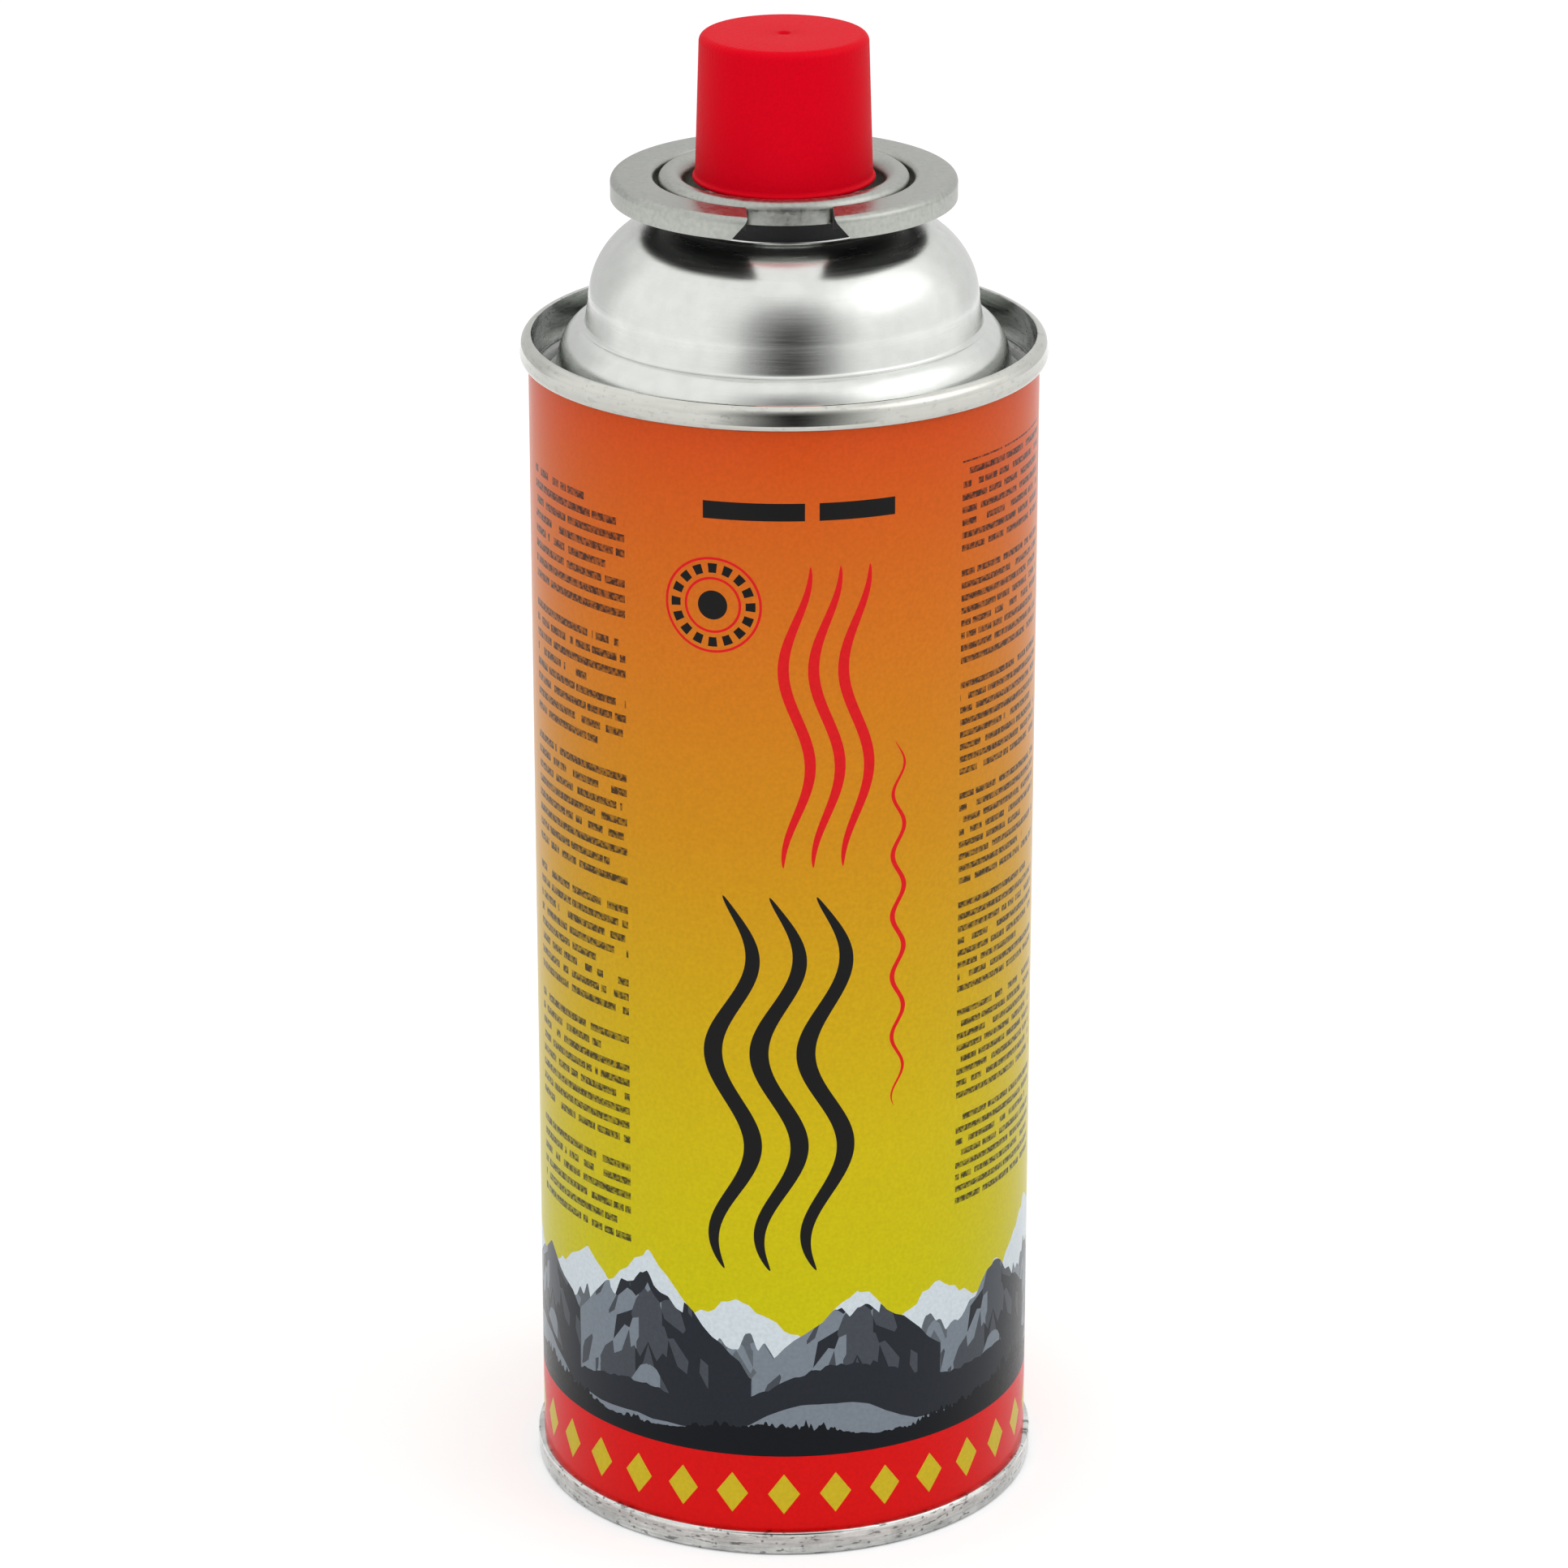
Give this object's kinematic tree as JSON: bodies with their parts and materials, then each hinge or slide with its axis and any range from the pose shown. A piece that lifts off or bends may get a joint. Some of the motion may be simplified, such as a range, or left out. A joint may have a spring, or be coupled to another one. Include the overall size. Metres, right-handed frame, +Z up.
{
  "type": "fuel canister",
  "caption": "Tall round tinplate gas cartridge with domed top, notched locating collar, push-in valve stem and a pull-off red cap.",
  "frame": {"origin": "centre of the base at the height of the surface the can stands on", "axes": "+Z up along the can's axis, towards the cap; -Y through the notch of the collar"},
  "size_m": [0.0676, 0.0676, 0.1966],
  "materials": {
    "printed_tinplate": "gloss litho print",
    "pressed_steel": "satin",
    "bright_tinplate": "bright, lightly brushed",
    "black_rubber": "matt",
    "white_plastic": "moulded satin",
    "spring_wire": "drawn wire",
    "red_plastic": "moulded satin"
  },
  "bodies": {
    "vessel": {"can": "printed_tinplate", "collar": "pressed_steel", "valve_cup": "bright_tinplate", "cup_gasket": "black_rubber", "stem_gasket": "black_rubber", "valve_housing": "white_plastic", "valve_spring": "spring_wire"},
    "stem": {"valve_stem": "white_plastic"},
    "cap": {"cap": "red_plastic"}
  },
  "joints": [
    {"name": "stem_press", "type": "slide", "parent": "vessel", "child": "stem", "axis": [0, 0, -1], "range_m": [0, 0.002], "stiffness_N_per_m": 2000, "springref_m": -0.001, "deforming": ["valve_spring"]},
    {"name": "cap_pull", "type": "slide", "parent": "vessel", "child": "cap", "axis": [0, 0, 1], "range_m": [0, 0.03]}
  ]
}
